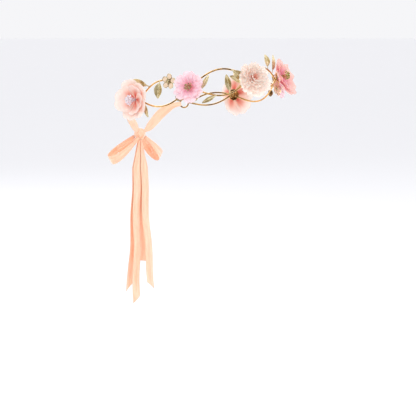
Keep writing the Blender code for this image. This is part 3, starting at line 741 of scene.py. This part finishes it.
class CROWN_OT_trim(bpy.types.Operator):
    """Three enamel blossoms and two filigree bead caps"""

    bl_idname = "crown.trim"
    bl_label = "Blossoms and bead caps"

    def execute(self, context):
        blossoms = (("right_side_blossom", 75.0, -1, 0.0015), ("front_blossom", -10.0, 1, 0.0065),
                    ("left_side_blossom", -75.0, -1, 0.0015))
        for name, angle, side, drop in blossoms:
            self.blossom(name, wire_place(angle, side, drop))
        for name, angle in (("right_bead_cap", 69.0), ("left_bead_cap", -69.0)):
            self.bead_cap(name, wire_place(angle, 1))
        return {"FINISHED"}

    def blossom(self, name, place):
        """Five domed petals with raised rims, round a gold dome ringed with beads."""
        a = np.linspace(0, np.pi, 15)[:, None]
        x, y, level = blossom_petal(np.linspace(0, 2 * np.pi, 33)[None, :], np.sin(a))
        petal = np.stack((x, y, level + 0.00055 * np.cos(a)), -1)
        petals = np.stack([turned(petal, 2 * np.pi * k / 5) for k in range(5)])
        rim = tube(np.stack(blossom_petal(np.linspace(0, 2 * np.pi, 49), 1.0), -1), UP, 0.00036, 8)
        rims = np.stack([turned(rim, 2 * np.pi * k / 5) for k in range(5)])
        dome = beads([(0.0, 0.0, 0.0016)], 0.00165, 12, 24, 0.85)
        turn = np.linspace(0, 2 * np.pi, 8)[:-1]
        ring = np.stack((0.0023 * np.cos(turn), 0.0023 * np.sin(turn), 0.0018 + 0 * turn), -1)
        seeds = beads(ring, 0.00052, 8, 10)
        plate = lathe(((0, 0.0001), (0.0036, 0.0001), (0.0040, 0.0005), (0.0036, 0.0010), (0, 0.0010)), 40)
        gold = [patch(placed(part, place), relief=1.0) for part in (rims, dome, seeds, plate)]
        make_piece(name + "_enamel", [patch(placed(petals, place), relief=0.8)], look("enamel"), name)
        make_piece(name + "_setting", gold, look("champagne"), name)

    def bead_cap(self, name, place):
        """A ribbed dome, radius swelling by |cos 4b|, with a beaded skirt and a top bead."""
        size = BEAD_CAP_RADIUS
        a = np.linspace(0, np.pi / 2, 22)[:, None]
        b = np.linspace(0, 2 * np.pi, 97)[None, :]
        rib = np.abs(np.cos(4 * b)) ** 1.6
        reach = size * np.sin(a) * (0.80 + 0.20 * rib * np.sin(a))
        rise = size * 0.88 * np.cos(a) * (0.93 + 0.07 * rib) + 0.0003
        dome = np.stack((reach * np.cos(b), reach * np.sin(b), rise + 0 * b), -1)
        floor = dome[-1:] * np.array((1, 1, 0))
        dome = np.concatenate((dome, floor, floor * 0))
        relief = np.concatenate((rib * np.ones_like(a) * 0.9, np.zeros((2, rib.size)) + 0.4))
        turn = np.linspace(0, 2 * np.pi, 17)[:-1]
        skirt = np.stack((size * 0.93 * np.cos(turn), size * 0.93 * np.sin(turn), 0.0006 + 0 * turn), -1)
        parts = [patch(placed(dome, place), relief=relief),
                 patch(placed(beads(skirt, 0.00058, 8, 10), place), relief=1.0),
                 patch(placed(beads([(0.0, 0.0, size * 0.92)], 0.0009, 9, 14), place), relief=1.0)]
        make_piece(name + "_filigree", parts, look("dark"), name)


# Flowers ------------------------------------------------------------------------------------

def petals(rng, count, radius, cup, level, start, ruffle, fringe, waves, crimp, lift=0.0, open_width=1.22,
           lean=0.0, tip=0.0, droop=0.0, curl=0.0016):
    """Overlapping petals.  With u across from -1 to 1 and v from the hole to the edge:

    edge = radius (1 - 0.3 |u|^2.6 - fringe teeth) (1 - droop sin angle); angle = spread u;
    distance = hole + (edge - hole) v; rise = (cup - lean cos angle - tip sin angle) (distance / radius)^2
    + lift v + lap u + ruffle v^2 sin(waves pi u + phase) - edge curl.
    """
    u = np.linspace(-1, 1, 37)[None, None, :]
    v = np.linspace(0, 1, 26)[None, :, None]
    k = np.arange(count)[:, None, None]
    phase, second = rng.uniform(0, 2 * np.pi, (2, count, 1, 1))
    size = 1 + rng.uniform(-0.05, 0.04, (count, 1, 1))
    skew = rng.uniform(-0.12, 0.12, (count, 1, 1))
    teeth = fringe * (0.5 + 0.5 * np.sin(17 * u + 3 * phase) * np.sin(31 * u + second))
    edge = radius * size * (1 - PETAL_ROUNDING * np.abs(u) ** 2.6 - teeth - 0.05 * np.exp(-(u / 0.16) ** 2))
    narrow = 0.62 + 0.38 * smooth(v * 2.2)
    angle = start + 2 * np.pi * k / count + np.pi / count * open_width * narrow * (u + skew * v * v)
    distance = PIN_HOLE + (edge * (1 - droop * np.sin(angle)) - PIN_HOLE) * v
    wave = np.sin(waves * np.pi * u + phase) + 0.45 * np.sin(2.3 * waves * np.pi * u + second) * v
    rise = level + (cup - lean * np.cos(angle) - tip * np.sin(angle)) * (distance / radius) ** 2
    rise = rise + lift * v * size + 0.00075 * u * smooth(v * 3)
    rise = rise + ruffle * v ** 2.2 * wave * (0.75 + 0.25 * np.cos(second))
    rise = rise - curl * smooth((v - 0.7) / 0.3) * (0.6 + 0.4 * np.cos(phase))
    rise = rise - 0.0007 * (1 - u * u) * v * (1 - v)
    rise = rise + crimp * np.sin(9 * np.pi * u + second) * v * (1.2 - v)
    grid = np.stack((distance * np.cos(angle), distance * np.sin(angle), rise), -1)
    uv = np.stack((np.broadcast_to(u / 2 + 0.5, rise.shape), np.broadcast_to(v, rise.shape)), -1)
    return grid, uv


FLOWERS = (
    # name, kind, ring angle
    ("right_rear_flower", "rear", 104.0),
    ("right_side_flower", "side", 60.0),
    ("right_front_flower", "right_front", 16.0),
    ("left_front_flower", "left_front", -16.0),
    ("left_side_flower", "side", -60.0),
    ("left_rear_flower", "rear", -104.0),
)
KINDS = {
    # cloth and its material slot, petals, flower diameter, cup, outer layer's reach, share of the ruffle,
    # (bead finish, stamens, bead spread, stamen rise), and the rest of what petals() takes
    "rear": ("peach_chiffon", "peach_chiffon", 5, 0.046, 0.0085, 1.10, 0.55, ("pearl", 26, 0.0060, 0.0095),
             {"fringe": 0.01, "waves": 1.2, "crimp": 0.00006, "curl": 0.0003, "open_width": 1.32}),
    "side": ("pink_chiffon", "pink_chiffon", 6, 0.037, 0.0060, 1.0, 0.9, ("champagne", 18, 0.0046, 0.0052),
             {"fringe": 0.06, "waves": 2.6, "crimp": 0.00010}),
    "right_front": ("cream_chiffon", "cream_pink_chiffon", 7, 0.044, 0.0085, 1.0, 1.0,
                    ("coral", 11, 0.0048, 0.0050),
                    {"fringe": 0.12, "waves": 3.4, "crimp": 0.00025, "droop": 0.14}),
    "left_front": ("rose_chiffon", "pink_chiffon", 5, 0.046, 0.0085, 1.0, 0.8, ("lime", 22, 0.0050, 0.0085),
                   {"fringe": 0.03, "waves": 1.8, "crimp": 0.00008, "curl": 0.0006, "tip": 0.0035,
                    "droop": 0.10}),
}
REAR_LEAN = 0.00585              # the rear flowers' cups lean toward the back of the ring
RUFFLE_DIAMETER = 0.046          # the flower diameter that the ruffle property is given for
RUFFLED_LAYERS = ((0.72, 0.0035, 0.9), (0.60, 0.0055, 0.2), (0.46, 0.0072, 1.3), (0.32, 0.0080, 0.6))
GOLDEN_ANGLE = 2.39996


class CROWN_OT_flowers(bpy.types.Operator):
    """Six chiffon flowers, each of two petal layers; the right front one is ruffled and fringed"""

    bl_idname = "crown.flowers"
    bl_label = "Chiffon flowers"

    def execute(self, context):
        outer_level = BASE_FACE + GAP + PETAL_LAYER / 2
        inner_level = outer_level + PETAL_LAYER + GAP
        for number, (name, kind, angle) in enumerate(FLOWERS):
            rng = np.random.default_rng(40 + number)
            place = ring_place(angle)
            chiffon, slot, count, size, cup, reach, share, _, shape = KINDS[kind]
            half = size / 2
            shape = {"ruffle": sizes().ruffle * size / RUFFLE_DIAMETER * share, **shape}
            if kind == "rear":
                shape["lean"] = math.copysign(REAR_LEAN, angle)
            outer = [petals(rng, count, half * reach, cup, outer_level, 0.4, **shape)]
            inner = [petals(rng, count, half * INNER_SHARE, cup * 0.80, inner_level, 0.4 + math.pi / count,
                            lift=0.0012, **shape)]
            if kind == "right_front":
                shape["droop"] = 0.0
                inner += [petals(rng, count, half * layer, cup * 0.6, inner_level + 0.0004, start,
                                 lift=lift, **shape) for layer, lift, start in RUFFLED_LAYERS]
            for layer, grids in (("outer", outer), ("inner", inner)):
                node = f"{name}_{layer}_petals"
                parts = [patch(placed(grid, place), uv) for grid, uv in grids]
                piece = make_piece(node + "_chiffon", parts, look(chiffon), node,
                                   thickness=sizes().chiffon)
        return {"FINISHED"}


class CROWN_OT_stamens(bpy.types.Operator):
    """A bundle of fine filaments with a bead on each tip, in the middle of every flower"""

    bl_idname = "crown.stamens"
    bl_label = "Stamens"

    def execute(self, context):
        foot = BASE_FACE + GAP
        for number, (name, kind, angle) in enumerate(FLOWERS):
            rng = np.random.default_rng(70 + number)
            place = ring_place(angle)
            cup, (finish, count, spread, height) = KINDS[kind][4], KINDS[kind][7]
            k = np.arange(count)
            reach = spread * np.sqrt((k + 0.5) / count)
            turn = k * GOLDEN_ANGLE + rng.uniform(-0.2, 0.2, count)
            tip_level = BASE_FACE + 0.0025 + cup * 0.13 + height - 0.0030 * (reach / spread) ** 2
            tip_level = tip_level + rng.uniform(-0.0008, 0.0010, count)
            t = np.linspace(0, 1, 7)[None, :]
            out = reach[:, None] * (0.10 + 0.90 * t ** 1.5)
            path = np.stack((out * np.cos(turn)[:, None], out * np.sin(turn)[:, None],
                             foot + (tip_level[:, None] - foot) * t), -1)
            filaments = tube(path, np.array((0.6, 0.8, 0.1)), sizes().filament / 2, 6)
            tips = beads(path[:, -1], sizes().stamen_bead / 2, 8, 12, 1.15)
            pin_profile = ((0, foot), (0.0008, foot), (0.0008, foot + 0.0036), (0.0012, foot + 0.0040),
                           (0.0010, foot + 0.0048), (0, foot + 0.0052))
            parts = [patch(placed(grid, place), relief=0.9)
                     for grid in (filaments, tips, lathe(pin_profile, 20))]
            make_piece(name + "_stamens_beads", parts, look(finish), name + "_stamens")
        return {"FINISHED"}


# Ribbon -------------------------------------------------------------------------------------

def knot_centre():
    """Behind and below the back of the ring."""
    return ring_place(180.0, KNOT_STANDOFF)[3] - UP * KNOT_DROP


def satin_piece(name, made, node, body):
    """A ribbon sheet of satin, with the satin's thickness."""
    piece = make_piece(name, [made], look("satin"), node, body=body,
                       thickness=sizes().satin)
    return piece


class CROWN_OT_knot(bpy.types.Operator):
    """The knot of the bow, wrapped from side to side with creased satin"""

    bl_idname = "crown.knot"
    bl_label = "Knot"

    def execute(self, context):
        """Radius (1 - s^2)^0.5 less creases along bells of s that wander with the angle b."""
        s = np.linspace(-1, 1, 49)[:, None]
        b = np.linspace(0, 2 * np.pi, 73)[None, :]
        crease = 0.10 * np.exp(-((s - 0.30 * np.sin(b + 0.6)) / 0.07) ** 2)
        crease = crease + 0.08 * np.exp(-((s + 0.42 + 0.12 * np.cos(b)) / 0.06) ** 2)
        crease = crease + 0.08 * np.exp(-((s - 0.62 - 0.08 * np.cos(b + 1.0)) / 0.06) ** 2)
        crease = crease + 0.01 * (1 + np.sin(14 * s + 2 * np.sin(b)))
        reach = KNOT_RADIUS * np.clip(1 - s * s, 0, 1) ** 0.5 * (1.0 - crease)
        x = KNOT_RADIUS * 0.98 * s + 0 * b
        grid = np.stack((x, reach * np.cos(b), reach * np.sin(b)), -1) + knot_centre()
        run = b * KNOT_RADIUS / RIBBON_WIDTH + 0 * s
        uv = np.stack((s / 2 + 0.5 + 0 * b, run), -1)
        make_piece("bow_knot_wrap", [patch(grid, uv)], look("satin"), "bow_knot")
        return {"FINISHED"}


class CROWN_OT_ties(bpy.types.Operator):
    """A doubled ribbon from each end ring, threaded through it, to the knot"""

    bl_idname = "crown.ties"
    bl_label = "Ties"

    def execute(self, context):
        centre = knot_centre()
        for name, side in (("right_tie", 1), ("left_tie", -1)):
            place = ring_place(side * BAND_END_ANGLE)
            backward = -side * place[0]
            reach = 2 * END_RING_RADIUS + END_RING_WIRE + 3 * GAP
            start = place[3] + backward * reach
            landing = unit(np.array((-0.80 * side, -0.38, 0.46)))
            stop = centre + landing * KNOT_RADIUS * 0.93
            pull = np.linalg.norm(stop - start) * 0.42
            bends = np.array((start, start + backward * pull, stop + landing * pull * 0.6, stop))
            t = np.linspace(0, 1, 60)[:, None]
            weights = np.concatenate(((1 - t) ** 3, 3 * (1 - t) ** 2 * t, 3 * (1 - t) * t * t, t ** 3), 1)
            run = weights @ bends
            ahead = unit(np.gradient(run, axis=0))
            outward = unit(run * np.array((1, 1, 0)))
            across = unit(np.cross(ahead, outward))
            face = np.cross(across, ahead)
            share = t[:, 0]
            half_gap = 0.00034 + 0.00103 * smooth(1 - share / 0.22)
            width = RIBBON_WIDTH * (0.6 + 0.4 * np.sin(np.pi * share))
            width = HOOK_WIDTH + (width - HOOK_WIDTH) * smooth(share / 0.25)
            width = width * (1 - 0.5 * smooth((share - 0.8) / 0.2))
            bar = place[3] + backward * (reach - END_RING_WIRE / 2 - GAP * 2)
            turn = np.linspace(0, np.pi, 15)[1:-1, None]
            hook = bar + HOOK_RADIUS * (face[0] * np.cos(turn) - backward * np.sin(turn))
            outer = run + face * half_gap[:, None]
            inner = run - face * half_gap[:, None]
            path = np.concatenate((outer[::-1], hook, inner))
            sides = np.concatenate((across[::-1], across[:1].repeat(len(hook), 0), across))
            widths = np.concatenate((width[::-1], np.full(len(hook), HOOK_WIDTH), width))
            gather = 0.4 * sizes().pleat * (1 - widths / RIBBON_WIDTH)
            made, length = ribbon(path, sides, widths, 0.0, gather, 4.0, 21)
            satin_piece(name + "_satin", made, name, "crown")
        return {"FINISHED"}


class CROWN_OT_loops(bpy.types.Operator):
    """Four bow loops, an outer and an inner one each side, gathered at the knot"""

    bl_idname = "crown.loops"
    bl_label = "Bow loops"

    def execute(self, context):
        kinds = (("outer", 0.052, 0.026, 0.0047), ("inner", 0.037, 0.012, 0.0035))
        for name, side in (("right", 1), ("left", -1)):
            for kind, length, opening, root in kinds:
                made, run = self.loop(side, length, opening, root)
                node = f"{name}_{kind}_loop"
                satin_piece(node + "_satin", made, node, name + "_loops")
        return {"FINISHED"}

    def loop(self, side, length, opening, root):
        """Centre + along r + spread w.

        r = start + (length - start) sin^0.75 and w = cos (root + (opening / 2 - root) sin^0.6).
        """
        along = unit(np.array((-side * math.cos(LOOP_DROOP), 0.16, -math.sin(LOOP_DROOP))))
        spread = unit(np.array((0.0, 1.0, 0.0)) - along * along[1])
        across = np.cross(along, spread)
        start = math.sqrt((KNOT_RADIUS + GAP) ** 2 - (root - sizes().satin / 2) ** 2)
        turn = np.linspace(0, np.pi, 121)
        bulge = np.maximum(np.sin(turn), 0)
        reach = start + (length - start) * bulge ** 0.75
        swing = np.cos(turn) * (root + (opening / 2 - root) * bulge ** 0.6)
        path = knot_centre() + along * reach[:, None] + spread * swing[:, None]
        fill = smooth((reach - start) / (length - start) * 1.5)
        width = LOOP_ROOT_WIDTH + (RIBBON_WIDTH - LOOP_ROOT_WIDTH) * bulge ** 0.8
        pleat = sizes().pleat * (1 - 0.85 * fill)
        curl = sizes().curl * fill * 0.35
        return ribbon(path, np.broadcast_to(across, path.shape), width, curl, pleat, 6.0, 49)


TAILS = (
    # name, side, layer, length, drift, cut
    ("right_rear", -1, 1, 0.187, 0.011, -0.009),
    ("right_front", -1, -1, 0.201, 0.001, -0.008),
    ("left_rear", 1, 1, 0.155, 0.002, 0.002),
    ("left_front", 1, -1, 0.184, -0.012, 0.009),
)


class CROWN_OT_tails(bpy.types.Operator):
    """Four ribbon tails that hang from the knot, with slanted ends"""

    bl_idname = "crown.tails"
    bl_label = "Ribbon tails"

    def execute(self, context):
        for name, side, layer, length, drift, cut in TAILS:
            made, run = self.tail(side, layer, length, drift, cut)
            satin_piece(name + "_tail_satin", made, name + "_tail", name + "_tail_body")
        return {"FINISHED"}

    def tail(self, side, layer, length, drift, cut):
        """x = side (gap + width / 2), y = layer + drift share^2 + wave, z = -fall; the end is slanted."""
        start = KNOT_RADIUS + SNUG
        share = np.linspace(0, 1, 140)
        fall = start + (length - start) * share
        spread = np.clip((fall - start) / TAIL_NECK_LENGTH, 0.0, 1.0)
        width = TAIL_NECK_WIDTH + (RIBBON_WIDTH - TAIL_NECK_WIDTH) * spread
        wave = 0.0011 * np.sin(fall / 0.0125) * smooth((fall - 0.03) / 0.05)
        y = layer * TAIL_LAYER / 2 + drift * share ** 2 + wave
        path = knot_centre() + np.stack((side * (GAP + width / 2), y, -fall), -1)
        width = width * (1 - 0.14 * (1 - spread) - 0.03 * (1 - share))
        pleat = 0.6 * sizes().pleat * (1 - spread)
        curl = sizes().curl * share ** 2
        across = np.broadcast_to(np.array((1.0, 0.0, 0.0)), path.shape)
        (grid, uv, relief), run = ribbon(path, across, width, curl * layer, pleat, 3.0, 25)
        u = np.linspace(-1, 1, 25)[None, :]
        skew = cut / 2 * u * smooth((share - 0.80) / 0.20)[:, None]
        grid[0, :, :, 2] -= skew
        return (grid, uv, relief), run


# Stage --------------------------------------------------------------------------------------

def aim(item, target):
    """Turn an object's -Z towards a point."""
    direction = Vector(tuple(target)) - item.location
    item.rotation_euler = direction.to_track_quat("-Z", "Y").to_euler()


def view_axes():
    """The directions towards the camera and to its right."""
    across, ahead = math.sin(VIEW_AZIMUTH), math.cos(VIEW_AZIMUTH)
    level = math.cos(VIEW_ELEVATION)
    back = np.array((across * level, -ahead * level, math.sin(VIEW_ELEVATION)))
    return back, np.array((ahead, across, 0.0))


class CROWN_OT_stage(bpy.types.Operator):
    """Pale floor, soft studio light and the camera"""

    bl_idname = "crown.stage"
    bl_label = "Stage"

    def execute(self, context):
        scene = context.scene
        scene.view_settings.view_transform = "Standard"
        floor_level = CAD_BOX[0][2] - FLOOR_DROP
        mesh = bpy.data.meshes.new("stage_floor")
        turn = np.linspace(0, 2 * np.pi, 97)[:-1]
        rim = np.stack((FLOOR_RADIUS * np.cos(turn), FLOOR_RADIUS * np.sin(turn), floor_level + 0 * turn), -1)
        mesh.from_pydata(rim, [], [list(range(len(rim)))])
        made, tree, shader = principled("Pale floor", (("Roughness", 0.9), ("Specular IOR Level", 0.1)))
        grain = noise(tree, 3.0, 2.0)
        tint = tuple(scene.crown_colours.stage)
        pale = blend_colour(tree, grain, tint, tuple(c * 0.99 for c in tint))
        tree.links.new(pale, shader.inputs["Base Color"])
        mesh.materials.append(made)
        floor = bpy.data.objects.new("stage_floor", mesh)
        context.collection.objects.link(floor)
        floor.visible_glossy = False
        self.lights(context)
        self.world(scene)
        self.camera(context)
        return {"FINISHED"}

    def lights(self, context):
        """A large soft key from the upper left, a fill from the right and a light from behind."""
        lamps = (("key_light", (-1.5, -0.9, 1.5), 1.5, 16.0, (1.0, 0.985, 0.96)),
                 ("fill_light", (0.3, -2.0, 0.8), 1.6, 5.0, (0.97, 0.98, 1.0)),
                 ("back_light", (0.8, 1.8, 1.3), 1.2, 8.0, (1.0, 1.0, 1.0)))
        for name, spot, size, power, colour in lamps:
            data = bpy.data.lights.new(name, "AREA")
            data.shape = "DISK"
            data.size, data.energy, data.color = size, power, colour
            lamp = bpy.data.objects.new(name, data)
            lamp.location = spot
            context.collection.objects.link(lamp)
            aim(lamp, (0.0, 0.0, -0.05))

    def world(self, scene):
        """Pale to the eye; to reflections, bright with a dark patch where the room's dark side is."""
        world = bpy.data.worlds.new("Soft studio")
        world.use_nodes = True
        tree = world.node_tree
        tree.nodes.clear()
        way = put(tree, "ShaderNodeTexCoord").outputs["Generated"]
        towards = put(tree, "ShaderNodeVectorMath", ((0, way), (1, tuple(view_axes()[0]))),
                      operation="DOT_PRODUCT").outputs["Value"]
        sway = sum_of(tree, "SUBTRACT", noise(tree, 2.2, 1.0, way), 0.5)
        bent = sum_of(tree, "MULTIPLY_ADD", sway, 0.7, towards)
        dark = between(tree, bent, 0.0, 0.35)
        room = blend_colour(tree, dark, (1.7, 1.7, 1.75), (0.022, 0.012, 0.007))
        rays = put(tree, "ShaderNodeLightPath").outputs["Is Glossy Ray"]
        seen = blend_colour(tree, rays, (0.92, 0.92, 0.94), room)
        glow = put(tree, "ShaderNodeBackground", (("Color", seen), ("Strength", 1.0)))
        out = tree.nodes.new("ShaderNodeOutputWorld")
        tree.links.new(glow.outputs[0], out.inputs[0])
        scene.world = world

    def camera(self, context):
        """Two metres off, looking a little below the ring."""
        back, right = view_axes()
        target = VIEW_SHIFT[0] * right + VIEW_SHIFT[1] * np.cross(back, right)
        data = bpy.data.cameras.new("camera")
        data.sensor_width = 36.0
        data.lens = data.sensor_width * VIEW_DISTANCE / VIEW_WIDTH
        data.clip_start, data.clip_end = 0.05, 2.5 * FLOOR_RADIUS
        camera = bpy.data.objects.new("camera", data)
        camera.location = tuple(target + back * VIEW_DISTANCE)
        context.collection.objects.link(camera)
        aim(camera, target)
        context.scene.camera = camera


class CROWN_PT_panel(bpy.types.Panel):
    """Sidebar panel that lists the steps"""

    bl_idname = "CROWN_PT_panel"
    bl_label = "Flower crown"
    bl_space_type = "VIEW_3D"
    bl_region_type = "UI"
    bl_category = "Crown"

    def draw(self, context):
        for step in STEPS:
            self.layout.operator(step.bl_idname)
        for settings in (context.scene.crown_sizes, context.scene.crown_colours):
            for key in settings.__annotations__:
                self.layout.prop(settings, key)


STEPS = (CROWN_OT_stage, CROWN_OT_wires, CROWN_OT_holders, CROWN_OT_leaves, CROWN_OT_trim, CROWN_OT_flowers,
         CROWN_OT_stamens, CROWN_OT_knot, CROWN_OT_ties, CROWN_OT_loops, CROWN_OT_tails)
CLASSES = (CrownSizes, CrownColours, *STEPS, CROWN_PT_panel)


def register():
    for item in CLASSES:
        bpy.utils.register_class(item)
    bpy.types.Scene.crown_sizes = bpy.props.PointerProperty(type=CrownSizes)
    bpy.types.Scene.crown_colours = bpy.props.PointerProperty(type=CrownColours)


def unregister():
    del bpy.types.Scene.crown_colours
    del bpy.types.Scene.crown_sizes
    for item in reversed(CLASSES):
        bpy.utils.unregister_class(item)


def main():
    """Register the add-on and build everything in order."""
    register()
    for step in STEPS:
        area, name = step.bl_idname.split(".")
        getattr(getattr(bpy.ops, area), name)()


if __name__ == "__main__":
    main()
